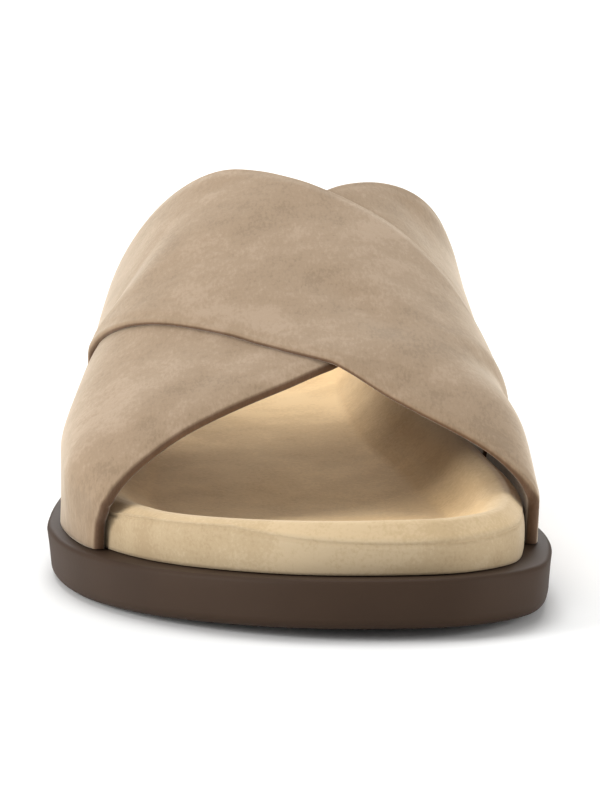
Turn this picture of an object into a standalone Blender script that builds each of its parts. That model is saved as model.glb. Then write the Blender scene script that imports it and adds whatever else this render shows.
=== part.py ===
"""Cross strap sandal for the right foot: a moulded outsole with a herringbone tread, a contoured
suede-wrapped footbed and an upper of two broad straps that cross over the instep.

The toe points along -Y, the inner (medial) side of the foot is +X and +Z is up. The origin lies on
the floor under the middle of the shoe. All lengths are in metres.
"""

import bpy
import numpy as np

# Driving sizes
LENGTH = 0.290
BALL_WIDTH = 0.1155
INSTEP_HEIGHT = 0.084
HEEL_RAISE = 0.0025
SOLE_THICKNESS = 0.0115
TOE_SPRING = 0.003
SPRING_START = 0.045
WALL = 0.003
GAP = 0.0003

# Outsole edge and tread
EDGE_RADIUS = 0.003
EDGE_DRAFT = 0.0008
TOP_BEVEL = 0.0012
LEDGE = 0.0064
TREAD_DEPTH = 0.0012
TREAD_PITCH = 0.00515
TREAD_COLUMN = 0.01178
TREAD_PEAK = 0.0096
TREAD_RISE = 0.0088
RIDGE_FOOT = 0.0034
RIDGE_FLAT = 0.0026
PLATE_CENTRE = (-0.0059, 0.018)
PLATE_SIZE = (0.032, 0.040)

# Mesh fineness
STATIONS = 36
STRAP_STEPS = 30
STRAP_ROWS = 10

# The outline of the sole, seen from above. "along" runs from the heel, 0, to the toe, 1, as a share
# of the length. "across" is a share of the ball width, positive on the inner side.
#    place            along   across
OUTLINE = (
    ("heel back",     0.000, -0.030),
    ("heel inner",    0.023,  0.150),
    ("heel medial",   0.107,  0.310),
    ("heel side",     0.221,  0.338),
    ("waist medial",  0.360,  0.340),
    ("arch medial",   0.468,  0.361),
    ("joint medial",  0.610,  0.439),
    ("ball medial",   0.739,  0.495),
    ("big toe side",  0.839,  0.494),
    ("big toe",       0.931,  0.451),
    ("toe medial",    0.989,  0.321),
    ("toe tip",       1.000,  0.166),
    ("toe lateral",   0.980, -0.050),
    ("little toe",    0.902, -0.292),
    ("toe side",      0.801, -0.436),
    ("ball lateral",  0.690, -0.497),
    ("ball back",     0.604, -0.492),
    ("waist lateral", 0.430, -0.437),
    ("heel lateral",  0.229, -0.401),
    ("heel corner",   0.107, -0.361),
    ("heel outer",    0.023, -0.220),
)

# The footbed's heights above the outsole, in metres: its rim on either side and its hollow.
#    place         along   lateral  medial   hollow
FOOTBED = (
    ("heel back",   0.000, 0.0255,  0.0255,  0.0115),
    ("heel cup",    0.120, 0.0250,  0.0262,  0.0108),
    ("heel front",  0.300, 0.0195,  0.0240,  0.0112),
    ("arch",        0.430, 0.0135,  0.0222,  0.0112),
    ("waist",       0.540, 0.0110,  0.0175,  0.0100),
    ("ball",        0.680, 0.0104,  0.0118,  0.0072),
    ("toes",        0.830, 0.0106,  0.0108,  0.0062),
    ("toe end",     1.000, 0.0125,  0.0125,  0.0066),
)

# The footbed's edge, from the wall inwards: distance from the wall in metres, and what share of the
# rim's height above the hollow is left there. The wall itself is the first row.
#    place        inward   share
RIM = (
    ("wall top",   0.0000,  0.00),
    ("round",      0.0013,  0.66),
    ("crest",      0.0040,  1.00),
    ("lip",        0.0075,  0.88),
    ("slope",      0.0120,  0.46),
    ("foot",       0.0170,  0.10),
)
RIM_ROUND = 0.0048
WALL_LEAN = 0.07

# Cross sections of the last under the straps, measured to the straps' outer face. "lateral" and
# "medial" are half widths and "crest across" the place of the top, as shares of the ball width. The
# heights are shares of the instep height. The powers make each side rounder (2) or squarer (3).
#    place        along  lateral medial  crest  crest   lateral medial lateral medial
#                                height  across  power   power  widest  widest
SECTIONS = (
    ("toe edge",   0.828, 0.390, 0.476,  0.423, 0.066,  2.05,   2.50,  0.270,  0.266),
    ("ball",       0.724, 0.467, 0.470,  0.586, 0.076,  2.02,   2.75,  0.311,  0.300),
    ("joints",     0.638, 0.470, 0.449,  0.684, 0.078,  1.92,   2.15,  0.336,  0.358),
    ("waist",      0.534, 0.444, 0.420,  0.816, 0.084,  2.07,   1.98,  0.336,  0.410),
    ("instep",     0.466, 0.424, 0.406,  0.896, 0.058,  2.08,   2.15,  0.365,  0.415),
    ("throat",     0.397, 0.402, 0.396,  0.990, 0.030,  1.90,   2.15,  0.440,  0.415),
    ("ankle side", 0.276, 0.386, 0.360,  1.170, 0.046,  1.75,   2.95,  0.390,  0.500),
)
SIDE_TURN = 0.80

# The straps' front and back edges as places along the length, by how far round the last they are:
# "turn" is -1 at the lateral edge of the footbed, 0 at the crest and 1 at the medial edge.
#    turn   front  back
OVER_STRAP = (
    (-1.00, 0.472, 0.272),
    (-0.80, 0.483, 0.293),
    (-0.56, 0.514, 0.324),
    (-0.46, 0.549, 0.338),
    (-0.34, 0.591, 0.353),
    (-0.20, 0.643, 0.372),
    (-0.08, 0.690, 0.398),
    ( 0.00, 0.712, 0.421),
    ( 0.15, 0.755, 0.455),
    ( 0.24, 0.777, 0.472),
    ( 0.34, 0.795, 0.493),
    ( 0.54, 0.823, 0.522),
    ( 0.75, 0.826, 0.552),
    ( 1.00, 0.820, 0.580),
)
UNDER_STRAP = (
    (-1.00, 0.800, 0.569),
    (-0.85, 0.803, 0.555),
    (-0.63, 0.812, 0.538),
    (-0.44, 0.797, 0.517),
    (-0.33, 0.779, 0.503),
    (-0.19, 0.755, 0.479),
    (-0.09, 0.734, 0.462),
    ( 0.00, 0.707, 0.445),
    ( 0.15, 0.666, 0.410),
    ( 0.35, 0.624, 0.372),
    ( 0.60, 0.593, 0.341),
    ( 1.00, 0.552, 0.307),
)
CROSSING_SINK = 0.0012
LIFT_RUN = 0.012

# Colours as linear red, green and blue, with roughness
FINISHES = {
    "outsole": ((0.050, 0.034, 0.026), 0.62),
    "footbed": ((0.62, 0.47, 0.29), 0.90),
    "upper": ((0.47, 0.36, 0.26), 0.92),
}


def y_at(along):
    """The place on Y of a share of the length, counted from the heel."""
    return (0.5 - np.asarray(along, float)) * LENGTH


def smooth_steps(places, values, x):
    """Values between the rows of a table, by cubic pieces that never swing past two neighbours."""
    places, values = np.asarray(places, float), np.asarray(values, float)
    if places[0] > places[-1]:
        places, values = places[::-1], values[::-1]
    run = np.diff(places)
    slope = np.diff(values) / run
    tangent = np.empty_like(values)
    tangent[0], tangent[-1] = slope[0], slope[-1]
    before, after = slope[:-1], slope[1:]
    weight_a, weight_b = 2 * run[1:] + run[:-1], run[1:] + 2 * run[:-1]
    rising = before * after > 0
    safe_before, safe_after = np.where(rising, before, 1.0), np.where(rising, after, 1.0)
    mean = (weight_a + weight_b) / (weight_a / safe_before + weight_b / safe_after)
    tangent[1:-1] = np.where(rising, mean, 0.0)
    x = np.clip(x, places[0], places[-1])
    i = np.clip(np.searchsorted(places, x, side="right") - 1, 0, len(run) - 1)
    s = (x - places[i]) / run[i]
    return (
        (2 * s**3 - 3 * s**2 + 1) * values[i]
        + (s**3 - 2 * s**2 + s) * run[i] * tangent[i]
        + (3 * s**2 - 2 * s**3) * values[i + 1]
        + (s**3 - s**2) * run[i] * tangent[i + 1]
    )


def ease(x):
    """0 below 0 and 1 above 1, with a smooth S between them."""
    x = np.clip(x, 0.0, 1.0)
    return x * x * (3 - 2 * x)


def closed_curve(knots, steps=24):
    """A closed curve through all knots, with even speed between them (centripetal Catmull-Rom)."""
    here = np.asarray(knots, float)
    last, after, beyond = np.roll(here, 1, 0), np.roll(here, -1, 0), np.roll(here, -2, 0)
    spans = (here - last, after - here, beyond - after)
    a, b, c = (np.sqrt(np.linalg.norm(span, axis=1))[:, None] for span in spans)
    leave = b * ((here - last) / a - (after - last) / (a + b) + (after - here) / b)
    arrive = b * ((after - here) / b - (beyond - here) / (b + c) + (beyond - after) / c)
    t = (np.arange(steps) / steps)[:, None, None]
    points = (
        (2 * t**3 - 3 * t**2 + 1) * here
        + (t**3 - 2 * t**2 + t) * leave
        + (3 * t**2 - 2 * t**3) * after
        + (t**3 - t**2) * arrive
    )
    return points.transpose(1, 0, 2).reshape(-1, 2)


def outline_sides():
    """The fine outline as two curves from toe to heel, lateral and medial, each sorted by Y."""
    knots = [(across * BALL_WIDTH, y_at(along)) for _, along, across in OUTLINE]
    fine = closed_curve(knots)
    heel = int(np.argmax(fine[:, 1]))
    fine = np.roll(fine, -heel, axis=0)
    toe = int(np.argmin(fine[:, 1]))
    medial = fine[: toe + 1][::-1]
    lateral = np.vstack([fine[toe:], fine[:1]])
    return lateral, medial


LATERAL_EDGE, MEDIAL_EDGE = outline_sides()


def edge_x(y, medial):
    """The outline's X at a given Y, on the medial or the lateral side."""
    edge = MEDIAL_EDGE if medial else LATERAL_EDGE
    return np.interp(y, edge[:, 1], edge[:, 0])


def outline_loop(inset=0.0):
    """The outline moved inwards, as one loop: heel, lateral side, toe, medial side.

    Point i and point -i face each other across the shoe, and the stations crowd towards both ends.
    """
    turn = np.pi * np.arange(STATIONS + 1) / STATIONS
    top, low = LATERAL_EDGE[-1, 1], LATERAL_EDGE[0, 1]
    y = (top + low) / 2 + (top - low) / 2 * np.cos(turn)
    lateral = np.stack([edge_x(y, False), y], axis=-1)
    medial = np.stack([edge_x(y, True), y], axis=-1)[1:-1][::-1]
    loop = np.vstack([lateral, medial])
    along = np.roll(loop, -1, axis=0) - np.roll(loop, 1, axis=0)
    inward = np.stack([along[:, 1], -along[:, 0]], axis=-1)
    inward /= np.linalg.norm(inward, axis=1, keepdims=True)
    centre = loop.mean(axis=0)
    if (inward * (centre - loop)).sum() < 0:
        inward = -inward
    return loop + inset * inward


def spring(y):
    """How far the toe end curves up from the floor at Y."""
    run = LENGTH / 2 - SPRING_START
    return TOE_SPRING * np.clip((-np.asarray(y) - SPRING_START) / run, 0.0, None) ** 2


def sole_top(y):
    """The height of the outsole's upper face at Y, which thickens a little under the heel."""
    return SOLE_THICKNESS + HEEL_RAISE * ease(np.asarray(y) / LENGTH + 0.5) + spring(y)


def new_object(name, vertices, faces):
    """A mesh object in the scene, with its triangles and quads facing outwards."""
    mesh = bpy.data.meshes.new(name)
    mesh.from_pydata(np.asarray(vertices).tolist(), [], [tuple(map(int, face)) for face in faces])
    mesh.update()
    part = bpy.data.objects.new(name, mesh)
    bpy.context.scene.collection.objects.link(part)
    return part


def ring_faces(first, second, count):
    """Quads between two rings of points that start at the two given indices."""
    i = np.arange(count)
    j = (i + 1) % count
    return np.stack([first + i, first + j, second + j, second + i], axis=-1).tolist()


def across_faces(start, flip):
    """Faces across one ring, joining the points that face each other."""
    count = 2 * STATIONS
    faces = [[start, start + 1, start + count - 1]]
    for i in range(1, STATIONS - 1):
        faces.append([start + i, start + i + 1, start + count - i - 1, start + count - i])
    faces.append([start + STATIONS - 1, start + STATIONS, start + STATIONS + 1])
    return [face[::-1] for face in faces] if flip else faces


def slab(name, rings):
    """A closed solid through rings of (inset, height) from the bottom up, flat at both ends."""
    count = 2 * STATIONS
    points = [np.column_stack([outline_loop(inset), np.full(count, height)]) for inset, height in rings]
    faces = across_faces(0, True)
    for ring in range(len(rings) - 1):
        faces += ring_faces(ring * count, (ring + 1) * count, count)
    faces += across_faces((len(rings) - 1) * count, False)
    return new_object(name, np.vstack(points), faces)


def helper(part):
    """Marks an object as a cutter or a guide."""
    part.hide_render = True
    part.display_type = "WIRE"
    return part


def boolean(part, other, operation):
    """Adds a Boolean that joins, cuts or keeps what two solids share."""
    step = part.modifiers.new(operation.title(), "BOOLEAN")
    step.operation = operation
    step.solver = "EXACT"
    step.object = other


def baked(part):
    """Replaces the object's mesh by its evaluated one and returns the mesh."""
    graph = bpy.context.evaluated_depsgraph_get()
    mesh = bpy.data.meshes.new_from_object(part.evaluated_get(graph))
    part.modifiers.clear()
    part.data = mesh
    return mesh


def remove(*parts):
    """Deletes helpers that have done their work."""
    for part in parts:
        bpy.data.objects.remove(part, do_unlink=True)


def tread_ridges():
    """Herringbone ridges as separate bars, each a zigzag across the whole shoe."""
    reach = BALL_WIDTH / 2 + TREAD_COLUMN
    first = int(np.floor((-reach - TREAD_PEAK) / TREAD_COLUMN))
    last = int(np.ceil((reach - TREAD_PEAK) / TREAD_COLUMN))
    bends = np.arange(first, last + 1)
    x = TREAD_PEAK + bends * TREAD_COLUMN
    zigzag = np.where(bends % 2 == 0, -TREAD_RISE / 2, TREAD_RISE / 2)
    count = len(x)
    rows = int(LENGTH / 2 / TREAD_PITCH) + 2
    corners = (
        (-RIDGE_FLAT / 2, 0.0),
        (RIDGE_FLAT / 2, 0.0),
        (RIDGE_FOOT / 2, TREAD_DEPTH * 1.5),
        (-RIDGE_FOOT / 2, TREAD_DEPTH * 1.5),
    )
    points, faces = [], []
    for row in range(-rows, rows + 1):
        start = len(points) * count
        for shift, height in corners:
            y = zigzag + row * TREAD_PITCH + shift
            points.append(np.column_stack([x, y, np.full(count, height)]))
        for side in range(4):
            low, high = start + side * count, start + (side + 1) % 4 * count
            i = np.arange(count - 1)
            faces += np.stack([low + i, high + i, high + i + 1, low + i + 1], axis=-1).tolist()
        ends = [start + side * count for side in range(4)]
        faces.append(ends[::-1])
        faces.append([end + count - 1 for end in ends])
    return new_object("ridges", np.vstack(points), faces)


def block(name, centre, size, low, high):
    """An upright box."""
    x = centre[0] + np.array([-1, 1, 1, -1]) * size[0] / 2
    y = centre[1] + np.array([-1, -1, 1, 1]) * size[1] / 2
    points = [(x[i], y[i], z) for z in (low, high) for i in range(4)]
    sides = [[i, (i + 1) % 4, (i + 1) % 4 + 4, i + 4] for i in range(4)]
    faces = [[3, 2, 1, 0], [4, 5, 6, 7]] + sides
    return new_object(name, points, faces)


def make_outsole():
    """The moulded slab: ridges joined to a body with a rounded lower edge, then bent at the toe."""
    floor_inset = EDGE_DRAFT + 0.8 * EDGE_RADIUS
    groove_inset = EDGE_DRAFT + 0.2 * EDGE_RADIUS
    thickness = SOLE_THICKNESS
    body = slab(
        "outsole",
        (
            (groove_inset, TREAD_DEPTH),
            (EDGE_DRAFT, EDGE_RADIUS),
            (0.0, thickness - TOP_BEVEL),
            (TOP_BEVEL / 3, thickness - TOP_BEVEL / 3),
            (TOP_BEVEL, thickness),
        ),
    )
    ridges = tread_ridges()
    edge_slope = (floor_inset - groove_inset) / TREAD_DEPTH
    below, above = -TREAD_DEPTH, 2 * TREAD_DEPTH
    trim_rings = [(floor_inset - edge_slope * height / 2, height) for height in (below, above)]
    trim = helper(slab("trim", trim_rings))
    plate = helper(block("plate", PLATE_CENTRE, PLATE_SIZE, below, above))
    boolean(ridges, trim, "INTERSECT")
    boolean(ridges, plate, "DIFFERENCE")
    baked(ridges)
    boolean(body, ridges, "UNION")
    mesh = baked(body)
    remove(ridges, trim, plate)
    for vertex in mesh.vertices:
        x, y, z = vertex.co
        share = max(0.0, (z - TREAD_DEPTH) / (thickness - TREAD_DEPTH))
        lift = float(spring(y))
        vertex.co = (x, y, z + lift + share * (float(sole_top(y)) - thickness - lift))
    return body


def footbed_height(loop, share):
    """The footbed's top, where a share of the rim's height above the hollow is left."""
    places = [y_at(row[1]) for row in FOOTBED]
    lateral, medial, hollow = (
        smooth_steps(places, [row[column] for row in FOOTBED], loop[:, 1]) for column in (2, 3, 4)
    )
    middle = (edge_x(loop[:, 1], True) + edge_x(loop[:, 1], False)) / 2
    half = (edge_x(loop[:, 1], True) - edge_x(loop[:, 1], False)) / 2
    to_medial = ease(0.5 + 0.5 * (loop[:, 0] - middle) / np.maximum(half, 0.001))
    rim = lateral + (medial - lateral) * to_medial
    return sole_top(loop[:, 1]) + hollow + share * (rim - hollow)


def make_footbed():
    """The wrapped core: an upright wall, a rounded rim and a hollow that rises to the arch."""
    count = 2 * STATIONS
    base = outline_loop(LEDGE)
    points = [np.column_stack([base, sole_top(base[:, 1]) + GAP])]
    wall_height = footbed_height(base, 1.0) - RIM_ROUND - sole_top(base[:, 1])
    lean = WALL_LEAN * wall_height[:, None]
    for place, inward, share in RIM:
        loop = outline_loop(LEDGE + inward + lean)
        z = footbed_height(loop, share)
        if place == "wall top":
            z = footbed_height(loop, 1.0) - RIM_ROUND
        if place == "round":
            z = footbed_height(loop, 1.0) - (1 - share) * RIM_ROUND
        points.append(np.column_stack([loop, z]))
    faces = across_faces(0, True)
    for ring in range(len(points) - 1):
        faces += ring_faces(ring * count, (ring + 1) * count, count)
    inner = points[-1]
    lateral, medial = inner[1:STATIONS], inner[:STATIONS:-1]
    rim_start = (len(points) - 1) * count
    columns = 6
    rows = [lateral + (medial - lateral) * (k / columns) for k in range(columns + 1)]
    for k, row in enumerate(rows):
        dip = footbed_height(row[:, :2], 0.0) - (medial[:, 2] + lateral[:, 2]) / 2
        row[:, 2] += dip * np.sin(np.pi * k / columns)
    index = [rim_start + 1 + np.arange(STATIONS - 1)]
    for k in range(1, columns):
        index.append(np.arange(STATIONS - 1) + rim_start + count + (k - 1) * (STATIONS - 1))
        points.append(rows[k])
    index.append(rim_start + count - 1 - np.arange(STATIONS - 1))
    for k in range(columns):
        a, b = index[k], index[k + 1]
        faces += np.stack([a[:-1], a[1:], b[1:], b[:-1]], axis=-1).tolist()
        faces.append([rim_start, a[0], b[0]])
        faces.append([a[-1], rim_start + STATIONS, b[-1]])
    return new_object("footbed", np.vstack(points), faces)


def last_surface(turn, y):
    """The straps' outer face: superelliptic sections that stand on upright sides.

    The turn runs from -1 at the lateral base over the crest at 0 to 1 at the medial base. Beyond
    SIDE_TURN the section goes from its widest place down to the edge of the outsole's ledge.
    """
    turn, y = np.broadcast_arrays(np.asarray(turn, float), np.asarray(y, float))
    places = [y_at(row[1]) for row in SECTIONS]
    lateral, medial, crest, centre, power_l, power_m, widest_l, widest_m = (
        smooth_steps(places, [row[column] for row in SECTIONS], y) for column in range(2, 10)
    )
    outer = turn < 0
    centre = centre * BALL_WIDTH
    width = np.where(outer, lateral * BALL_WIDTH + centre, medial * BALL_WIDTH - centre)
    power = np.where(outer, power_l, power_m)
    widest = np.where(outer, widest_l, widest_m) * INSTEP_HEIGHT
    stand = LEDGE - GAP - WALL
    foot = np.where(outer, centre - edge_x(y, False) - stand, edge_x(y, True) - stand - centre)
    angle = np.clip(np.abs(turn) / SIDE_TURN, 0, 1) * np.pi / 2
    out, up = np.sin(angle), np.cos(angle)
    radius = (out**power + up**power) ** (-1 / power)
    low = sole_top(y) + GAP
    drop = np.clip((np.abs(turn) - SIDE_TURN) / (1 - SIDE_TURN), 0, 1)
    arch = drop <= 0
    rise = crest * INSTEP_HEIGHT - widest
    x = np.where(arch, radius * out * width, width - (width - foot) * drop**2)
    z = np.where(arch, widest + radius * up * rise, widest - (widest - low) * drop)
    return np.stack([centre + np.where(outer, -x, x), y, z], axis=-1)


def last_normal(turn, y):
    """The outward direction of the last's surface, level at its base so that edges stay upright."""
    step_turn, step_y = 1e-3, 1e-4
    ahead = last_surface(np.clip(turn + step_turn, -1, 1), y)
    behind = last_surface(np.clip(turn - step_turn, -1, 1), y)
    along = last_surface(turn, y + step_y) - last_surface(turn, y - step_y)
    normal = np.cross(ahead - behind, along)
    normal[..., 2] *= 1 - ease((np.abs(turn) - SIDE_TURN) / (1 - SIDE_TURN))
    return normal / np.linalg.norm(normal, axis=-1, keepdims=True)


def strap_edges(table, turn):
    """The places on Y of a strap's front and back edges at each turn."""
    turns, front, back = zip(*table)
    return y_at(smooth_steps(turns, front, turn)), y_at(smooth_steps(turns, back, turn))


def crossing(turn, y):
    """1 where a point lies over the under strap, fading to 0 outside its edges."""
    front, back = strap_edges(UNDER_STRAP, turn)
    inside = np.minimum(y - front, back - y)
    return ease((inside + LIFT_RUN) / LIFT_RUN)


def make_strap(name, table, lift):
    """A band of the last's surface with a wall, raised where it crosses the other strap."""
    turn = np.linspace(-1, 1, STRAP_STEPS + 1)[:, None]
    front, back = strap_edges(table, turn)
    across = np.linspace(0, 1, STRAP_ROWS + 1)[None, :]
    y = front + (back - front) * across
    turn = np.broadcast_to(turn, y.shape)
    outer = last_surface(turn, y)
    normal = last_normal(turn, y)
    raised = (lift * crossing(turn, y))[..., None] * normal
    shells = (outer + raised, outer + raised - WALL * normal)
    size = y.size
    grid = np.arange(size).reshape(y.shape)
    cells = np.stack([grid[:-1, :-1], grid[1:, :-1], grid[1:, 1:], grid[:-1, 1:]], axis=-1).reshape(-1, 4)
    faces = cells.tolist() + (cells[:, ::-1] + size).tolist()
    border = np.concatenate([grid[0, :-1], grid[:-1, -1], grid[-1, :0:-1], grid[:0:-1, 0]])
    after = np.roll(border, -1)
    faces += np.stack([border, after, after + size, border + size], axis=-1).tolist()
    return new_object(name, np.vstack([shell.reshape(-1, 3) for shell in shells]), faces)


def make_upper():
    """Both straps as one hollow solid, the over strap joined on the under strap where they cross."""
    upper = make_strap("upper", UNDER_STRAP, 0.0)
    over = helper(make_strap("over", OVER_STRAP, WALL - CROSSING_SINK))
    boolean(upper, over, "UNION")
    baked(upper)
    remove(over)
    return upper


def finish(part):
    """Gives a part its plain material and smooth shading with sharp edges kept."""
    colour, roughness = FINISHES[part.name]
    material = bpy.data.materials.new(part.name)
    material.use_nodes = True
    shader = material.node_tree.nodes["Principled BSDF"]
    shader.inputs["Base Color"].default_value = (*colour, 1.0)
    shader.inputs["Roughness"].default_value = roughness
    shader.inputs["Metallic"].default_value = 0.0
    material.diffuse_color = (*colour, 1.0)
    part.data.materials.clear()
    part.data.materials.append(material)
    part.data.shade_smooth()
    part.data.set_sharp_from_angle(angle=np.radians(35))


for existing in list(bpy.data.objects):
    bpy.data.objects.remove(existing, do_unlink=True)

for made in (make_outsole(), make_footbed(), make_upper()):
    finish(made)
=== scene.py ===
"""Looks of a cross strap sandal for the right foot: a moulded rubber outsole, a suede-wrapped footbed and
two broad lined suede straps that cross over the instep, on a pale floor in soft studio light.

The toe points along -Y, the inner (medial) side of the foot is +X and +Z is up. All lengths are in metres.
"""

import bmesh
import bpy
import numpy as np
from mathutils import Matrix, Vector


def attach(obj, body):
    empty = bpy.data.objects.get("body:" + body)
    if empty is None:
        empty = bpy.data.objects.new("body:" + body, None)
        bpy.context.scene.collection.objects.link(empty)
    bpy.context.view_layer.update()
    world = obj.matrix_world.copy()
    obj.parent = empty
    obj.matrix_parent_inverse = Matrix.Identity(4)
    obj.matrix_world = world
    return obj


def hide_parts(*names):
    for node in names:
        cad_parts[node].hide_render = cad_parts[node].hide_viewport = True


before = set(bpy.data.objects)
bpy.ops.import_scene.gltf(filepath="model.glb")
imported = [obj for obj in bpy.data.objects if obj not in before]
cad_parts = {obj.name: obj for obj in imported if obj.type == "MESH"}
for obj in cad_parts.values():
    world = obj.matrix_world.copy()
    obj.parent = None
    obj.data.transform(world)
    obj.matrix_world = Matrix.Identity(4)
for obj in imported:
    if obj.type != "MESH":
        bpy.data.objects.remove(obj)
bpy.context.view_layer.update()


# Outsole
# One slab of dark brown rubber, moulded in one piece with its herringbone tread and one bare plate. Its
# smooth side shows all round, and its upper face is a plain ledge that the footbed and straps stand on.

LENGTH = 0.290
BALL_WIDTH = 0.1155
SOLE_THICKNESS = 0.0115
HEEL_RAISE = 0.0025
TOE_SPRING = 0.003
SPRING_START = 0.045

# The side's lean, the round at its foot, which turns through EDGE_TURN degrees, and the bevel on top.
EDGE_DRAFT = 0.0008
EDGE_RADIUS = 0.003
EDGE_TURN = 74
TOP_BEVEL = 0.0012

# The tread: bars a pitch apart that swing along Y by a rise from one column to the next, with a bend at
# TREAD_PEAK on X. They stop at an inset from the outline, and the grooves between them run out before it.
TREAD_DEPTH = 0.0012
TREAD_PITCH = 0.00515
TREAD_COLUMN = 0.01178
TREAD_RISE = 0.0088
TREAD_PEAK = 0.0096
RIDGE_INSET = 0.0033
RUN_OUT = 0.0028

# The bare plate: a low block in an opening of the tread, a margin smaller than it all round. Its edges
# are rounded by a share of its height.
PLATE_CENTRE = (-0.0059, 0.018)
PLATE_SIZE = (0.032, 0.040)
PLATE_MARGIN = 0.0008
PLATE_HEIGHT = 0.0004
PLATE_ROUND = 0.6

# The heights spanned by the block that trims the bars and by the one that opens the tread for the plate.
TRIM_SPAN = (-0.001, 0.003)
OPENING_SPAN = (-0.002, 0.004)

# How fine the meshes are: points from heel to toe on each side, points between two rows of the outline,
# columns across a flat end, and rings in the run-out, round the edge and over the bevel. Edges that turn
# by more than CRISP_ANGLE degrees stay crisp.
STATIONS = 220
OUTLINE_STEPS = 160
END_COLUMNS = 8
RUN_OUT_RINGS = 6
EDGE_RINGS = 12
BEVEL_RINGS = 6
CRISP_ANGLE = 40

# The outline of the sole, seen from above. "along" runs from the heel, 0, to the toe, 1, as a share
# of the length. "across" is a share of the ball width, positive on the inner side.
#    place            along   across
OUTLINE = (
    ("heel back",     0.000, -0.030),
    ("heel inner",    0.023,  0.150),
    ("heel medial",   0.107,  0.310),
    ("heel side",     0.221,  0.338),
    ("waist medial",  0.360,  0.340),
    ("arch medial",   0.468,  0.361),
    ("joint medial",  0.610,  0.439),
    ("ball medial",   0.739,  0.495),
    ("big toe side",  0.839,  0.494),
    ("big toe",       0.931,  0.451),
    ("toe medial",    0.989,  0.321),
    ("toe tip",       1.000,  0.166),
    ("toe lateral",   0.980, -0.050),
    ("little toe",    0.902, -0.292),
    ("toe side",      0.801, -0.436),
    ("ball lateral",  0.690, -0.497),
    ("ball back",     0.604, -0.492),
    ("waist lateral", 0.430, -0.437),
    ("heel lateral",  0.229, -0.401),
    ("heel corner",   0.107, -0.361),
    ("heel outer",    0.023, -0.220),
)

# Half of the section of a tread bar, which hangs from the sole, from its flat foot outwards and up.
#    off centre  above the floor
RIDGE_SECTION = (
    (0.00070, 0.00000),
    (0.00112, 0.00007),
    (0.00140, 0.00030),
    (0.00156, 0.00070),
    (0.00166, 0.00120),
    (0.00170, 0.00170),
)


def y_at(along):
    """The place on Y of a share of the length, counted from the heel."""
    return (0.5 - np.asarray(along, float)) * LENGTH


def ease(x):
    """0 below 0 and 1 above 1, with a smooth S between them."""
    x = np.clip(x, 0.0, 1.0)
    return x * x * (3 - 2 * x)


def closed_curve(knots, steps):
    """A closed curve through all knots, with even speed between them (centripetal Catmull-Rom)."""
    here = np.asarray(knots, float)
    last, after, beyond = np.roll(here, 1, 0), np.roll(here, -1, 0), np.roll(here, -2, 0)
    spans = (here - last, after - here, beyond - after)
    a, b, c = (np.sqrt(np.linalg.norm(span, axis=1))[:, None] for span in spans)
    leave = b * ((here - last) / a - (after - last) / (a + b) + (after - here) / b)
    arrive = b * ((after - here) / b - (beyond - here) / (b + c) + (beyond - after) / c)
    t = (np.arange(steps) / steps)[:, None, None]
    points = (
        (2 * t**3 - 3 * t**2 + 1) * here
        + (t**3 - 2 * t**2 + t) * leave
        + (3 * t**2 - 2 * t**3) * after
        + (t**3 - t**2) * arrive
    )
    return points.transpose(1, 0, 2).reshape(-1, 2)


def outline_sides():
    """The fine outline as two curves from toe to heel, lateral and medial, each sorted by Y."""
    knots = [(across * BALL_WIDTH, y_at(along)) for _, along, across in OUTLINE]
    fine = closed_curve(knots, OUTLINE_STEPS)
    fine = np.roll(fine, -int(np.argmax(fine[:, 1])), axis=0)
    toe = int(np.argmin(fine[:, 1]))
    return np.vstack([fine[toe:], fine[:1]]), fine[: toe + 1][::-1]


LATERAL_EDGE, MEDIAL_EDGE = outline_sides()


def edge_x(y, medial):
    """The outline's X at a given Y, on the medial or the lateral side."""
    edge = MEDIAL_EDGE if medial else LATERAL_EDGE
    return np.interp(y, edge[:, 1], edge[:, 0])


def outline_loop(inset):
    """The outline moved inwards, from the heel by the lateral side, toe and medial side to the heel.

    Point i faces point -i across the shoe, and the stations crowd towards both ends as a cosine does.
    """
    turn = np.pi * np.arange(STATIONS + 1) / STATIONS
    top, low = LATERAL_EDGE[-1, 1], LATERAL_EDGE[0, 1]
    y = (top + low) / 2 + (top - low) / 2 * np.cos(turn)
    lateral = np.stack([edge_x(y, False), y], axis=-1)
    medial = np.stack([edge_x(y, True), y], axis=-1)[1:-1][::-1]
    loop = np.vstack([lateral, medial])
    along = np.roll(loop, -1, axis=0) - np.roll(loop, 1, axis=0)
    inward = np.stack([-along[:, 1], along[:, 0]], axis=-1)
    inward /= np.linalg.norm(inward, axis=1, keepdims=True)
    closed, inward = np.vstack([loop, loop[:1]]), np.vstack([inward, inward[:1]])
    return closed + np.asarray(inset)[..., None] * inward


def spring(y):
    """How far the toe end curves up from the floor at Y: the square of the run past its start."""
    run = LENGTH / 2 - SPRING_START
    return TOE_SPRING * np.clip((-np.asarray(y) - SPRING_START) / run, 0.0, None) ** 2


def sole_top(y):
    """The height of the outsole's upper face at Y, which thickens a little under the heel."""
    return SOLE_THICKNESS + HEEL_RAISE * ease(np.asarray(y) / LENGTH + 0.5) + spring(y)


def across(loop, columns):
    """A grid across the inside of a closed ring, joining the points that face each other."""
    half = len(loop) // 2
    lateral, medial = loop[: half + 1], loop[half:][::-1]
    share = np.linspace(0, 1, columns + 1)[None, :, None]
    return lateral[:, None] + (medial - lateral)[:, None] * share


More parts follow.
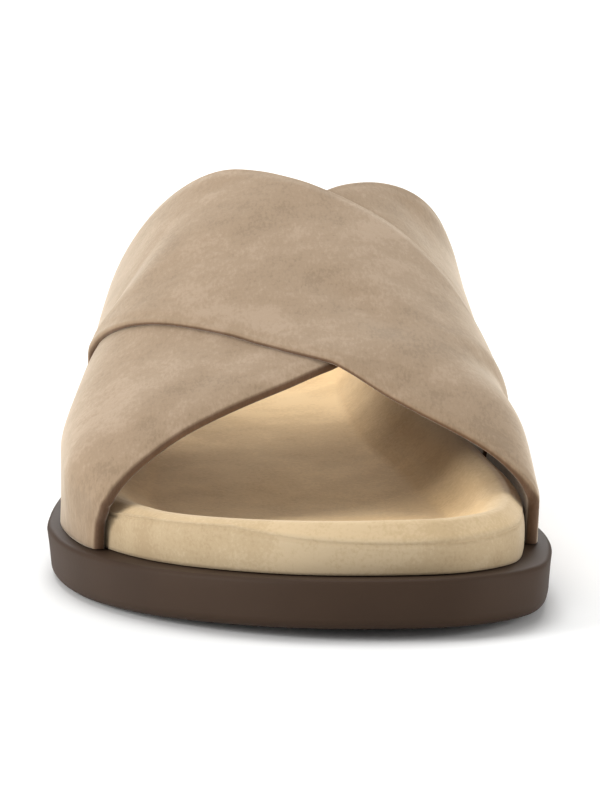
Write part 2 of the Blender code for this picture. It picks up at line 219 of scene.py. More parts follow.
def joined_mesh(name, grids, marks=None):
    """A mesh of quads through grids of points, joined along the borders that they share.

    The faces of a closed shape are turned outwards. marks gives, for each named attribute, one array of
    values a grid.
    """
    points, faces, start = [], [], 0
    for grid in grids:
        rows, columns = grid.shape[:2]
        index = start + np.arange(rows * columns).reshape(rows, columns)
        cells = np.stack([index[:-1, :-1], index[1:, :-1], index[1:, 1:], index[:-1, 1:]], axis=-1)
        points.append(grid.reshape(-1, 3))
        faces.append(cells.reshape(-1, 4))
        start += rows * columns
    mesh = bpy.data.meshes.new(name)
    mesh.from_pydata(np.vstack(points).tolist(), [], np.vstack(faces).tolist())
    for mark, values in (marks or {}).items():
        attribute = mesh.attributes.new(mark, "FLOAT", "POINT")
        attribute.data.foreach_set("value", np.concatenate([v.ravel() for v in values]).astype(np.float32))
    work = bmesh.new()
    work.from_mesh(mesh)
    bmesh.ops.remove_doubles(work, verts=work.verts, dist=1e-6)
    bmesh.ops.recalc_face_normals(work, faces=work.faces)
    work.to_mesh(mesh)
    work.free()
    return mesh


def new_piece(mesh):
    """An object at the origin that holds a mesh, linked to the scene."""
    piece = bpy.data.objects.new(mesh.name, mesh)
    bpy.context.scene.collection.objects.link(piece)
    return piece


def slab(name, rings):
    """A closed solid through rings of (inset, height) from the bottom up, flat at both ends."""
    stack = [
        np.column_stack([outline_loop(inset), np.full(2 * STATIONS + 1, height)])
        for inset, height in rings
    ]
    bottom, top = across(stack[0], END_COLUMNS), across(stack[-1], END_COLUMNS)
    return joined_mesh(name, (bottom, np.stack(stack), top))


def tread_ridges():
    """Herringbone bars: the ridge section carried along a zigzag across the shoe, once a pitch."""
    reach = BALL_WIDTH / 2 + TREAD_COLUMN
    bends = np.arange(
        int(np.floor((-reach - TREAD_PEAK) / TREAD_COLUMN)),
        int(np.ceil((reach - TREAD_PEAK) / TREAD_COLUMN)) + 1,
    )
    x = TREAD_PEAK + bends * TREAD_COLUMN
    zigzag = np.where(bends % 2 == 0, -TREAD_RISE / 2, TREAD_RISE / 2)
    section = np.array(RIDGE_SECTION)
    ring = np.vstack([section, section[::-1] * (-1, 1), section[:1]])
    rows = int(LENGTH / 2 / TREAD_PITCH) + 2
    grids = []
    for row in range(-rows, rows + 1):
        y = zigzag[:, None] + row * TREAD_PITCH + ring[None, :, 0]
        bar = np.stack(
            [np.broadcast_to(x[:, None], y.shape), y, np.broadcast_to(ring[None, :, 1], y.shape)], axis=-1
        )
        half = len(section)
        ends = [np.stack([bar[end, :half], bar[end, half : 2 * half][::-1]]) for end in (0, -1)]
        grids += [bar, *ends]
    return joined_mesh("ridges", grids)


def box_mesh(name, centre, size, low, high):
    """An upright box: four walls between a low and a high rectangle, and a lid on each of these."""
    x = centre[0] + np.array([-1, 1, 1, -1, -1]) * size[0] / 2
    y = centre[1] + np.array([-1, -1, 1, 1, -1]) * size[1] / 2
    walls = np.stack([np.column_stack([x, y, np.full(5, z)]) for z in (low, high)])
    lids = [ring[[[0, 1], [3, 2]]] for ring in walls]
    return joined_mesh(name, (walls, *lids))


def combined(piece, other, operation):
    """Joins, cuts or keeps what two solids share, and removes the second one."""
    step = piece.modifiers.new(operation.title(), "BOOLEAN")
    step.operation = operation
    step.solver = "EXACT"
    step.object = other
    graph = bpy.context.evaluated_depsgraph_get()
    piece.data = bpy.data.meshes.new_from_object(piece.evaluated_get(graph))
    piece.modifiers.clear()
    bpy.data.objects.remove(other, do_unlink=True)


def outsole_rings():
    """Rings of (inset, height) from the groove floor over the edge's round to the top.

    The groove floor comes down to the edge over RUN_OUT, so that the grooves fade before the side. The
    round and the bevel are arcs, given by the sine and cosine of their angle.
    """
    angle = np.radians(np.linspace(EDGE_TURN, 0, EDGE_RINGS))
    inset = EDGE_DRAFT + EDGE_RADIUS * (1 - np.cos(angle))
    height = EDGE_RADIUS * (1 - np.sin(angle))
    away = np.linspace(1, 0, RUN_OUT_RINGS, endpoint=False)
    fade = zip(inset[0] + RUN_OUT * away, height[0] + (TREAD_DEPTH - height[0]) * ease(away))
    bevel = np.radians(np.linspace(0, 90, BEVEL_RINGS))
    top = zip(TOP_BEVEL * (1 - np.cos(bevel)), SOLE_THICKNESS - TOP_BEVEL * (1 - np.sin(bevel)))
    side = [(EDGE_DRAFT / 2, (EDGE_RADIUS + SOLE_THICKNESS) / 2)]
    return [*fade, *zip(inset, height), *side, *top]


def make_plate():
    """The bare plate: a box whose top is buried in the slab, with a bevel round it."""
    size = np.array(PLATE_SIZE) - 2 * PLATE_MARGIN
    plate = new_piece(box_mesh("plate", PLATE_CENTRE, size, TREAD_DEPTH - PLATE_HEIGHT, TRIM_SPAN[1]))
    rounding = plate.modifiers.new("Rounded", "BEVEL")
    rounding.width = PLATE_HEIGHT * PLATE_ROUND
    rounding.segments = 3
    return plate


def make_outsole():
    """The slab with its rounded edges, the tread's bars and the plate, then bent up at the toe.

    Every point rises by the toe spring, and above the tread by its share of what the slab thickens.
    """
    body = new_piece(slab("slab", outsole_rings()))
    ridges = new_piece(tread_ridges())
    trim = slab("trim", [(RIDGE_INSET, height) for height in TRIM_SPAN])
    combined(ridges, new_piece(trim), "INTERSECT")
    opening = box_mesh("opening", PLATE_CENTRE, PLATE_SIZE, *OPENING_SPAN)
    combined(ridges, new_piece(opening), "DIFFERENCE")
    plate = make_plate()
    graph = bpy.context.evaluated_depsgraph_get()
    parts = [body.data, ridges.data, bpy.data.meshes.new_from_object(plate.evaluated_get(graph))]
    work = bmesh.new()
    for part in parts:
        work.from_mesh(part)
    mesh = bpy.data.meshes.new("outsole_rubber")
    work.to_mesh(mesh)
    work.free()
    for helper in (body, ridges, plate):
        bpy.data.objects.remove(helper, do_unlink=True)
    points = np.empty(len(mesh.vertices) * 3, np.float32)
    mesh.vertices.foreach_get("co", points)
    points = points.reshape(-1, 3)
    share = np.clip((points[:, 2] - TREAD_DEPTH) / (SOLE_THICKNESS - TREAD_DEPTH), 0, None)
    lift = spring(points[:, 1])
    points[:, 2] += lift + share * (sole_top(points[:, 1]) - SOLE_THICKNESS - lift)
    mesh.vertices.foreach_set("co", points.ravel())
    mesh.update()
    return new_piece(mesh)


def linear(hex_colour):
    """The linear red, green, blue and alpha of an sRGB hex colour: a straight line near black and a power
    of 2.4 above it."""
    srgb = np.array([int(hex_colour[i : i + 2], 16) for i in (1, 3, 5)]) / 255
    rgb = np.where(srgb <= 0.04045, srgb / 12.92, ((srgb + 0.055) / 1.055) ** 2.4)
    return (*rgb.tolist(), 1.0)


def node(tree, kind, settings=None, links=None):
    """Adds a shader node, sets its properties and socket values and links its inputs to other sockets."""
    made = tree.nodes.new(kind)
    for key, value in (settings or {}).items():
        if isinstance(key, str) and hasattr(made, key):
            setattr(made, key, value)
        else:
            made.inputs[key].default_value = value
    for key, socket in (links or {}).items():
        tree.links.new(socket, made.inputs[key])
    return made


def new_material(name):
    """A new material, its node tree, which holds no more than the object's own coordinates, and those."""
    material = bpy.data.materials.new(name)
    material.use_nodes = True
    tree = material.node_tree
    tree.nodes.clear()
    place = node(tree, "ShaderNodeTexCoord").outputs["Object"]
    return material, tree, place


def moulded_rubber():
    """Dark brown rubber out of a finely eroded mould: satin, with a slight cloudiness and a fine skin.

    The grain of the skin is drawn coarser than that of the mould, so that it shows.
    """
    cloud_width, grain_width = 0.022, 0.0009
    material, tree, place = new_material("moulded rubber")
    cloud = node(tree, "ShaderNodeTexNoise", {"Scale": 1 / cloud_width, "Detail": 3.0}, {"Vector": place})
    colour = node(
        tree,
        "ShaderNodeMix",
        {"data_type": "RGBA", 6: linear("#36281e"), 7: linear("#413125")},
        {0: cloud.outputs["Fac"]},
    )
    skin = node(tree, "ShaderNodeTexNoise", {"Scale": 1 / grain_width, "Detail": 2.0}, {"Vector": place})
    bump = node(
        tree, "ShaderNodeBump", {"Strength": 0.25, "Distance": 0.00008}, {"Height": skin.outputs["Fac"]}
    )
    shader = node(
        tree,
        "ShaderNodeBsdfPrincipled",
        {"Roughness": 0.62, "IOR": 1.5, "Specular IOR Level": 0.14},
        {"Base Color": colour.outputs[2], "Normal": bump.outputs["Normal"]},
    )
    node(tree, "ShaderNodeOutputMaterial", links={"Surface": shader.outputs["BSDF"]})
    return material


def finish(piece, material, cad_node):
    """Gives a piece its material, smooth shading and body, and hides the CAD node that it stands for."""
    piece.data.materials.clear()
    piece.data.materials.append(material)
    piece.data.shade_smooth()
    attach(piece, "root")
    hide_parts(cad_node)


outsole = make_outsole()
outsole.data.set_sharp_from_angle(angle=np.radians(CRISP_ANGLE))
finish(outsole, moulded_rubber(), "outsole")


# Footbed
# A contoured cushioning core wrapped in sand suede: an upright wall, a folded edge, a soft rounded rim
# and a hollow with a heel cup and an arch. It is cemented on the outsole inside the ledge.

# The gap that the cement fills, the ledge left free round the wall, and the wall: it leans in by a share of
# its height, but for the toe, bulges by its puff and is pinched at a share of its height under the fold.
GAP = 0.0003
LEDGE = 0.0064
WALL_LEAN = 0.07
LEAN_START = -0.110
LEAN_RUN = 0.050
WALL_PUFF = 0.0003
FOLD_PINCH = 0.0004
PINCH_MIDDLE = 0.93
PINCH_REACH = 0.05

# How deep the fold lies: most at a place on X of the toe, less beside it, and even behind the toes.
FOLD_CENTRE = 0.025
FOLD_REACH = 0.048
FOLD_POWER = 2.2
FOLD_LEAST = 0.25
FOLD_BEHIND = 0.6
BEHIND_START = -0.105
BEHIND_RUN = 0.035

# The footbed's heights above the outsole, in metres: its rim on either side and its hollow.
#    place         along   lateral  medial   hollow
FOOTBED = (
    ("heel back",   0.000, 0.0255,  0.0255,  0.0115),
    ("heel cup",    0.120, 0.0250,  0.0262,  0.0105),
    ("heel front",  0.300, 0.0195,  0.0240,  0.0108),
    ("arch",        0.430, 0.0142,  0.0228,  0.0100),
    ("waist",       0.540, 0.0120,  0.0190,  0.0078),
    ("ball",        0.680, 0.0112,  0.0148,  0.0048),
    ("toes",        0.830, 0.0110,  0.0126,  0.0036),
    ("toe end",     1.000, 0.0125,  0.0125,  0.0042),
)

# The rim from the folded edge inwards: distance from the wall and drop below the crest, in metres.
#    place        inward    drop
RIM = (
    ("fold",       0.00000, 0.00490),
    ("fold round", 0.00014, 0.00458),
    ("fold top",   0.00042, 0.00418),
    ("band low",   0.00110, 0.00305),
    ("band",       0.00200, 0.00165),
    ("band top",   0.00300, 0.00048),
    ("crest",      0.00450, 0.00000),
)

# From the crest to the hollow: distance from the wall, and the share left of the rim's height.
#    place        inward   share
SLOPE = (
    ("crest",      0.0045, 1.00),
    ("lip",        0.0075, 0.88),
    ("slope",      0.0120, 0.46),
    ("foot",       0.0170, 0.10),
)

# Soft creases pressed into the hollow: middle, heading from +X, half length, half width, height in metres.
#    place             x       y     heading  length  width   height
HOLLOW_CREASES = (
    ("toe hollow",    0.018, -0.112,    8,    0.026,  0.009, -0.0007),
    ("toe ridge",    -0.006, -0.098,   14,    0.022,  0.004,  0.0003),
    ("ball trough",  -0.012, -0.086,   18,    0.020,  0.005, -0.0005),
    ("ball dish",     0.006, -0.058,   -6,    0.024,  0.015, -0.0009),
    ("joint ridge",   0.024, -0.072,  -22,    0.014,  0.004,  0.0004),
    ("waist ridge",  -0.004, -0.022,   70,    0.020,  0.008,  0.0005),
    ("heel dish",    -0.004,  0.088,   90,    0.024,  0.018, -0.0008),
)

# Where the rings lie: up the wall as shares of its height, and in metres from the wall round the fold,
# over the rim and down the slope. The last is the number of columns across the hollow.
WALL_RINGS = np.concatenate([np.linspace(0, 0.8, 10), np.linspace(0.84, 1, 7)])
FOLD_RINGS = np.linspace(0, 0.0008, 7)[1:]
RIM_RINGS = np.linspace(0.0012, RIM[-1][1], 9)
SLOPE_RINGS = np.linspace(SLOPE[0][1], SLOPE[-1][1], 15)[1:]
HOLLOW_COLUMNS = 44

# How much of the painted light, a paler tone, shows at the fold, past it, at the crest and at the slope's
# foot.
PAINTED_LIGHT_SHARES = (0, 0.20, 0.24, 1)


def smooth_steps(places, values, x):
    """Values between the rows of a table, by cubic pieces that never swing past two neighbours."""
    places, values = np.asarray(places, float), np.asarray(values, float)
    if places[0] > places[-1]:
        places, values = places[::-1], values[::-1]
    run = np.diff(places)
    slope = np.diff(values) / run
    tangent = np.empty_like(values)
    tangent[0], tangent[-1] = slope[0], slope[-1]
    before, after = slope[:-1], slope[1:]
    weight_a, weight_b = 2 * run[1:] + run[:-1], run[1:] + 2 * run[:-1]
    rising = before * after > 0
    safe_before, safe_after = np.where(rising, before, 1.0), np.where(rising, after, 1.0)
    mean = (weight_a + weight_b) / (weight_a / safe_before + weight_b / safe_after)
    tangent[1:-1] = np.where(rising, mean, 0.0)
    x = np.clip(x, places[0], places[-1])
    i = np.clip(np.searchsorted(places, x, side="right") - 1, 0, len(run) - 1)
    s = (x - places[i]) / run[i]
    return (
        (2 * s**3 - 3 * s**2 + 1) * values[i]
        + (s**3 - 2 * s**2 + s) * run[i] * tangent[i]
        + (3 * s**2 - 2 * s**3) * values[i + 1]
        + (s**3 - s**2) * run[i] * tangent[i + 1]
    )


def footbed_height(plan, share):
    """The footbed's top: the sole's top, the hollow's height and a share of the rim's height above it.

    The rim's own height goes from its lateral to its medial value in a smooth S across the shoe.
    """
    places = [y_at(row[1]) for row in FOOTBED]
    x, y = plan[..., 0], plan[..., 1]
    lateral, medial, hollow = (
        smooth_steps(places, [row[column] for row in FOOTBED], y) for column in (2, 3, 4)
    )
    middle = (edge_x(y, True) + edge_x(y, False)) / 2
    half = (edge_x(y, True) - edge_x(y, False)) / 2
    to_medial = ease(0.5 + 0.5 * (x - middle) / np.maximum(half, 0.001))
    rim = lateral + (medial - lateral) * to_medial
    return sole_top(y) + hollow + share * (rim - hollow)


def fold_share(plan):
    """How deep the fold lies under the crest: at the toe 1 less a power of the way from its centre on X,
    and no less than FOLD_LEAST, eased along Y into FOLD_BEHIND."""
    toe = 1 - np.abs((plan[:, 0] - FOLD_CENTRE) / FOLD_REACH) ** FOLD_POWER
    behind = ease((plan[:, 1] - BEHIND_START) / BEHIND_RUN)
    return np.clip(toe, FOLD_LEAST, 1) * (1 - behind) + FOLD_BEHIND * behind


def creases(x, y, table):
    """Soft troughs (below 0) and ridges: each is a bell across its line that fades towards its ends."""
    total = np.zeros(np.broadcast(x, y).shape)
    for _, middle_x, middle_y, heading, length, width, height in table:
        c, s = np.cos(np.radians(heading)), np.sin(np.radians(heading))
        along = (x - middle_x) * c + (y - middle_y) * s
        off = (y - middle_y) * c - (x - middle_x) * s
        total += height * np.exp(-((along / length) ** 2) - (off / width) ** 2)
    return total


def make_footbed():
    """Rings up the wall, round the fold, over the rim and down the slope, which a grid across then closes.

    Between the last ring's two sides the grid sinks to the hollow's height as half a sine wave does.
    """
    base = outline_loop(LEDGE)
    fold = fold_share(base)
    floor = sole_top(base[:, 1]) + GAP
    wall = footbed_height(base, 1.0) - RIM[0][2] * fold - floor
    lean = WALL_LEAN * wall * ease((base[:, 1] - LEAN_START) / LEAN_RUN)
    rings = []
    for up in WALL_RINGS:
        pinch = FOLD_PINCH * np.exp(-(((up - PINCH_MIDDLE) / PINCH_REACH) ** 2))
        puff = WALL_PUFF * np.sin(np.pi * up) - pinch
        loop = outline_loop(LEDGE + lean * up - puff)
        rings.append(np.column_stack([loop, floor + wall * up]))
    for inward in (*FOLD_RINGS, *RIM_RINGS):
        loop = outline_loop(LEDGE + lean + inward)
        drop = smooth_steps([row[1] for row in RIM], [row[2] for row in RIM], inward) * fold
        rings.append(np.column_stack([loop, footbed_height(loop, 1.0) - drop]))
    for inward in SLOPE_RINGS:
        loop = outline_loop(LEDGE + lean + inward)
        share = smooth_steps([row[1] for row in SLOPE], [row[2] for row in SLOPE], inward)
        rings.append(np.column_stack([loop, footbed_height(loop, share)]))
    hollow = across(rings[-1], HOLLOW_COLUMNS)
    sink = np.sin(np.pi * np.linspace(0, 1, HOLLOW_COLUMNS + 1)[None, :])
    rise = (rings[-1][: STATIONS + 1, 2] + rings[-1][STATIONS:, 2][::-1])[:, None] / 2
    hollow[..., 2] += (footbed_height(hollow, 0.0) - rise) * sink
    hollow[..., 2] += creases(hollow[..., 0], hollow[..., 1], HOLLOW_CREASES) * sink**0.5
    under = across(rings[0], END_COLUMNS)
    at_fold = len(WALL_RINGS) - 1
    past_fold = at_fold + len(FOLD_RINGS)
    stops = (at_fold, past_fold, past_fold + len(RIM_RINGS), len(rings) - 1)
    # Painted light: the wall gets none of the paler tone, the rim a little and the hollow all of it.
    painted_light = np.interp(np.arange(len(rings)), stops, PAINTED_LIGHT_SHARES)
    marks = {
        "hollow": [
            np.zeros(under.shape[:2]),
            np.broadcast_to(painted_light[:, None], (len(rings), len(base))),
            np.ones(hollow.shape[:2]),
        ]
    }
    return new_piece(joined_mesh("footbed_suede", (under, np.stack(rings), hollow), marks))


# The nap's pattern: the size of a patch as a share of a cloud's, how much the clouds, the patches and the
# fibres each add to it, and its values where the darkest and the lightest tone are reached.
PATCH_SIZE = 0.28
NAP_SHARES = (0.36, 0.34, 0.30)
NAP_ENDS = (0.40, 0.60)


def suede(name, colours, cloud, grain, sheen, tint):
    """Suede, the buffed flesh side of leather: matt, with a velvet sheen from its nap, clouds where the
    nap lies differently and fine fibre flecks.

    cloud is the width of a cloud, and grain that of a fleck on X and on Y and Z, drawn coarser than real
    fibres so that it shows. tint is a marked attribute and what the colour is multiplied by there.
    """
    dark, mid, light = colours
    material, tree, place = new_material(name)
    mark = node(tree, "ShaderNodeAttribute", {"attribute_name": tint[0]})
    drift = node(tree, "ShaderNodeTexNoise", {"Scale": 1 / cloud, "Detail": 2.0}, {"Vector": place})
    patch = node(
        tree,
        "ShaderNodeTexNoise",
        {"Scale": 1 / (cloud * PATCH_SIZE), "Detail": 4.0, "Roughness": 0.6},
        {"Vector": place},
    )
    brushed = node(
        tree,
        "ShaderNodeMapping",
        {"Scale": (1 / grain[0], 1 / grain[1], 1 / grain[1])},
        {"Vector": place},
    )
    fibre = node(
        tree,
        "ShaderNodeTexNoise",
        {"Scale": 1.0, "Detail": 3.0, "Roughness": 0.65},
        {"Vector": brushed.outputs["Vector"]},
    )
    nap = node(
        tree, "ShaderNodeMath", {"operation": "MULTIPLY", 1: NAP_SHARES[0]}, {0: drift.outputs["Fac"]}
    )
    for layer, share in zip((patch, fibre), NAP_SHARES[1:]):
        nap = node(
            tree,
            "ShaderNodeMath",
            {"operation": "MULTIPLY_ADD", 1: share},
            {0: layer.outputs["Fac"], 2: nap.outputs[0]},
        )
    ramp = node(tree, "ShaderNodeValToRGB", links={"Fac": nap.outputs[0]})
    tones = ramp.color_ramp
    tones.interpolation = "EASE"
    for end, place_on_nap, colour in zip((0, 1), NAP_ENDS, (dark, light)):
        tones.elements[end].position = place_on_nap
        tones.elements[end].color = linear(colour)
    tones.elements.new(sum(NAP_ENDS) / 2).color = linear(mid)
    tinted = node(
        tree,
        "ShaderNodeMix",
        {"data_type": "RGBA", "blend_type": "MULTIPLY", 7: (*tint[1], 1.0)},
        {0: mark.outputs["Fac"], 6: ramp.outputs["Color"]},
    )
    bump = node(
        tree, "ShaderNodeBump", {"Strength": 0.35, "Distance": 0.0002}, {"Height": fibre.outputs["Fac"]}
    )
    soft = node(
        tree,
        "ShaderNodeBump",
        {"Strength": 0.5, "Distance": 0.0004},
        {"Height": patch.outputs["Fac"], "Normal": bump.outputs["Normal"]},
    )
    shader = node(
        tree,
        "ShaderNodeBsdfPrincipled",
        {
            "Roughness": 0.92,
            "IOR": 1.45,
            "Specular IOR Level": 0.25,
            "Sheen Weight": sheen,
            "Sheen Roughness": 0.34,
            "Sheen Tint": linear("#f6ead8"),
        },
        {"Base Color": tinted.outputs[2], "Normal": soft.outputs["Normal"]},
    )
    node(tree, "ShaderNodeOutputMaterial", links={"Surface": shader.outputs["BSDF"]})
    return material


footbed = make_footbed()

# Sand suede, buffed short and even, so that it looks matt and smooth. Painted light: the hollow is painted
# paler and warmer, for the light that falls into it, and the rim a little paler than the wall.
sand_suede = suede(
    "sand suede wrap",
    colours=("#ac9676", "#b5a080", "#beaa8b"),
    cloud=0.040,
    grain=(0.0009, 0.0009),
    sheen=0.3,
    tint=("hollow", (1.82, 1.68, 1.42)),
)
finish(footbed, sand_suede, "footbed")


# Upper
# Two broad straps of taupe suede with turned edges and a brown lining. Each rises from the ledge beside
# the footbed, where its ends are fixed, and the over strap is fixed on the under strap where they cross.

# The last that the straps are drawn over: its height, and the turn from which its sides stand upright.
INSTEP_HEIGHT = 0.084
SIDE_TURN = 0.80

# A strap's wall, how far its edges sink, over what width and with what power its face rolls down to them,
# and over what width its lining comes up to them.
WALL = 0.003
EDGE_SINK = 0.0003
ROLL_RUN = 0.0035
ROLL_POWER = 1.5
LINING_RUN = 0.006

# How far the over strap rises on the under strap, its run up to that over the instep and at the sides,
# the run of its lining, and the share of the rise that is pressed out at the base.
CROSSING_LIFT = 0.0018
LIFT_RUN = 0.028
SIDE_LIFT_RUN = 0.009
STEP_RUN = 0.0025
BASE_PRESS = 0.7

# The brown of the lining, and that of the edges, which is partly painted shade on the side of each edge
# turned
# under: degrees round the edge at which it begins near the base, and degrees over which it comes.
LINING_TINT = 0.6
BASE_EDGE_FROM = 0
BROWN_SHADE_RUN = 40

# Changes along a strap, as the turn where each begins and its run: the edges thicken, the run of the lift
# shortens, the brown and painted shade of the edges begin sooner, and the strap goes down to its base.
THICKEN = (0.40, 0.25)
SHORTEN = (0.25, 0.30)
BROWN_SHADE_SOONER = (0.60, 0.20)
TO_BASE = (SIDE_TURN, 1 - SIDE_TURN)

# How fine a strap is: steps along it, points across its face, how much these crowd towards the edges, and
# points round an edge. Then come the places of the edges and the lining in its section's ring.
STRAP_STEPS = 260
FACE_POINTS = 57
CROWDING = 0.6
ROUND_POINTS = 9
EDGE_ARC = np.pi * np.linspace(0, 1, ROUND_POINTS + 2)[1:-1]
BACK_ROUND = slice(FACE_POINTS, FACE_POINTS + ROUND_POINTS)
LINING = slice(BACK_ROUND.stop, BACK_ROUND.stop + FACE_POINTS)
FRONT_ROUND = slice(LINING.stop, LINING.stop + ROUND_POINTS)

# Cross sections of the last under the straps, measured to the straps' outer face. "lateral" and
# "medial" are half widths and "crest across" the place of the top, as shares of the ball width. The
# heights are shares of the instep height. The powers make each side rounder (2) or squarer (3).
#    place        along  lateral medial  crest  crest   lateral medial lateral medial
#                                height  across  power   power  widest  widest
SECTIONS = (
    ("toe edge",   0.828, 0.390, 0.476,  0.423, 0.066,  2.05,   2.50,  0.270,  0.266),
    ("ball",       0.724, 0.467, 0.470,  0.586, 0.076,  2.02,   2.75,  0.311,  0.300),
    ("joints",     0.638, 0.470, 0.449,  0.684, 0.078,  1.92,   2.15,  0.336,  0.358),
    ("waist",      0.534, 0.444, 0.420,  0.816, 0.084,  2.07,   1.98,  0.336,  0.410),
    ("instep",     0.466, 0.420, 0.416,  0.896, 0.058,  2.08,   2.15,  0.365,  0.415),
    ("throat",     0.397, 0.398, 0.409,  0.990, 0.030,  1.90,   2.15,  0.440,  0.415),
    ("ankle side", 0.276, 0.382, 0.366,  1.170, 0.046,  1.75,   2.95,  0.390,  0.500),
)

# The straps' front and back edges as places along the length, by how far round the last they are:
# "turn" is -1 at the lateral edge of the footbed, 0 at the crest and 1 at the medial edge.
#    turn   front  back
OVER_STRAP = (
    (-1.00, 0.466, 0.262),
    (-0.80, 0.474, 0.281),
    (-0.66, 0.487, 0.300),
    (-0.56, 0.512, 0.310),
    (-0.46, 0.549, 0.323),
    (-0.34, 0.591, 0.338),
    (-0.20, 0.643, 0.357),
    (-0.08, 0.690, 0.384),
    ( 0.00, 0.712, 0.408),
    ( 0.15, 0.755, 0.443),
    ( 0.24, 0.777, 0.461),
    ( 0.34, 0.795, 0.483),
    ( 0.54, 0.823, 0.518),
    ( 0.70, 0.831, 0.545),
    ( 0.80, 0.828, 0.555),
    ( 0.90, 0.820, 0.564),
    ( 1.00, 0.812, 0.572),
)
UNDER_STRAP = (
    (-1.00, 0.800, 0.569),
    (-0.90, 0.806, 0.555),
    (-0.80, 0.818, 0.532),
    (-0.70, 0.821, 0.512),
    (-0.60, 0.815, 0.500),
    (-0.44, 0.797, 0.496),
    (-0.33, 0.779, 0.492),
    (-0.19, 0.755, 0.479),
    (-0.09, 0.734, 0.462),
    ( 0.00, 0.707, 0.437),
    ( 0.15, 0.666, 0.398),
    ( 0.35, 0.624, 0.357),
    ( 0.60, 0.593, 0.325),
    ( 1.00, 0.578, 0.295),
)

# Soft creases in the straps, pulled towards the place where they cross: middle in plan, heading from +X,
# half length, half width and height in metres.
#    place             x       y     heading  length  width   height
STRAP_CREASES = (
    ("over pull",     0.016, -0.036,  -52,    0.020,  0.0045, -0.0004),
    ("over ridge",    0.026, -0.030,  -50,    0.018,  0.0050,  0.0003),
    ("over side",    -0.040,  0.024,   70,    0.018,  0.0060, -0.0005),
    ("over swell",   -0.028,  0.012,   66,    0.020,  0.0070,  0.0004),
    ("under pull",   -0.018, -0.058,   48,    0.018,  0.0045, -0.0004),
    ("under side",   -0.043, -0.060,   78,    0.016,  0.0060, -0.0005),
    ("hump side",     0.034,  0.026,  108,    0.016,  0.0060, -0.0005),
)


def last_surface(turn, y):
    """The straps' outer face: superelliptic sections that stand on upright sides.

    The turn runs from -1 at the lateral base over the crest at 0 to 1 at the medial base. Beyond
    SIDE_TURN the section goes from its widest place down to the edge of the outsole's ledge.
    """
    turn, y = np.broadcast_arrays(np.asarray(turn, float), np.asarray(y, float))
    places = [y_at(row[1]) for row in SECTIONS]
    lateral, medial, crest, centre, power_l, power_m, widest_l, widest_m = (
        smooth_steps(places, [row[column] for row in SECTIONS], y) for column in range(2, 10)
    )
    outer = turn < 0
    centre = centre * BALL_WIDTH
    width = np.where(outer, lateral * BALL_WIDTH + centre, medial * BALL_WIDTH - centre)
    power = np.where(outer, power_l, power_m)
    widest = np.where(outer, widest_l, widest_m) * INSTEP_HEIGHT
    stand = LEDGE - GAP - WALL
    foot = np.where(outer, centre - edge_x(y, False) - stand, edge_x(y, True) - stand - centre)
    angle = np.clip(np.abs(turn) / SIDE_TURN, 0, 1) * np.pi / 2
    out, up = np.sin(angle), np.cos(angle)
    radius = (out**power + up**power) ** (-1 / power)
    low = sole_top(y) + GAP
    drop = np.clip((np.abs(turn) - SIDE_TURN) / (1 - SIDE_TURN), 0, 1)
    arch = drop <= 0
    rise = crest * INSTEP_HEIGHT - widest
    x = np.where(arch, radius * out * width, width - (width - foot) * drop**2)
    z = np.where(arch, widest + radius * up * rise, widest - (widest - low) * drop)
    return np.stack([centre + np.where(outer, -x, x), y, z], axis=-1)


def past(turn, change):
    """0 where the turn's size is below a change's start and 1 after its run, with a smooth S between."""
    start, run = change
    return ease((np.abs(turn) - start) / run)


def last_normal(turn, y):
    """The outward direction of the last's surface, level at its base so that edges stay upright."""
    step_turn, step_y = 1e-3, 1e-4
    ahead = last_surface(np.clip(turn + step_turn, -1, 1), y)
    behind = last_surface(np.clip(turn - step_turn, -1, 1), y)
    along = last_surface(turn, y + step_y) - last_surface(turn, y - step_y)
    normal = np.cross(ahead - behind, along)
    normal[..., 2] *= 1 - past(turn, TO_BASE)
    return normal / np.linalg.norm(normal, axis=-1, keepdims=True)


def strap_edges(table, turn):
    """The places on Y of a strap's front and back edges at each turn."""
    turns, front, back = zip(*table)
    return y_at(smooth_steps(turns, front, turn)), y_at(smooth_steps(turns, back, turn))


def crossing(turn, y, run):
    """1 where a point lies over the under strap, fading to 0 over a run outside its edges."""
    front, back = strap_edges(UNDER_STRAP, turn)
    inside = np.minimum(y - front, back - y)
    return ease((inside + run) / run)


def lift_share(turn, y):
    """How far the over strap rises: with a long run over the instep, where it is taut, a short run at
    the sides, and pressed low at the base."""
    run = LIFT_RUN + (SIDE_LIFT_RUN - LIFT_RUN) * past(turn, SHORTEN)
    return crossing(turn, y, run) * (1 - BASE_PRESS * past(turn, TO_BASE))


def slant(turn, edge):
    """How much longer a step along Y is than the same step square to a slanting edge."""
    place = last_surface(turn, edge)
    step = np.gradient(place, axis=0)
    girth = np.linalg.norm(step[..., [0, 2]], axis=-1)
    return np.sqrt(1 + (step[..., 1] / np.maximum(girth, 1e-6)) ** 2)


def lining_depth(turn, y, from_edge, edge_depth, lift):
    """How deep the lining lies: WALL, but drawn up over LINING_RUN to the depth of the edges.

    Where the strap is lifted, its lining stays on the last, and over the under strap it rests on that
    strap's face.
    """
    full = ease(from_edge / LINING_RUN)
    depth = edge_depth + (WALL - edge_depth) * full
    if not lift:
        return depth
    turn = np.broadcast_to(turn, y.shape)
    beside = depth + lift * lift_share(turn, y) * full
    return beside + (np.minimum(depth, lift) - beside) * crossing(turn, y, STEP_RUN)


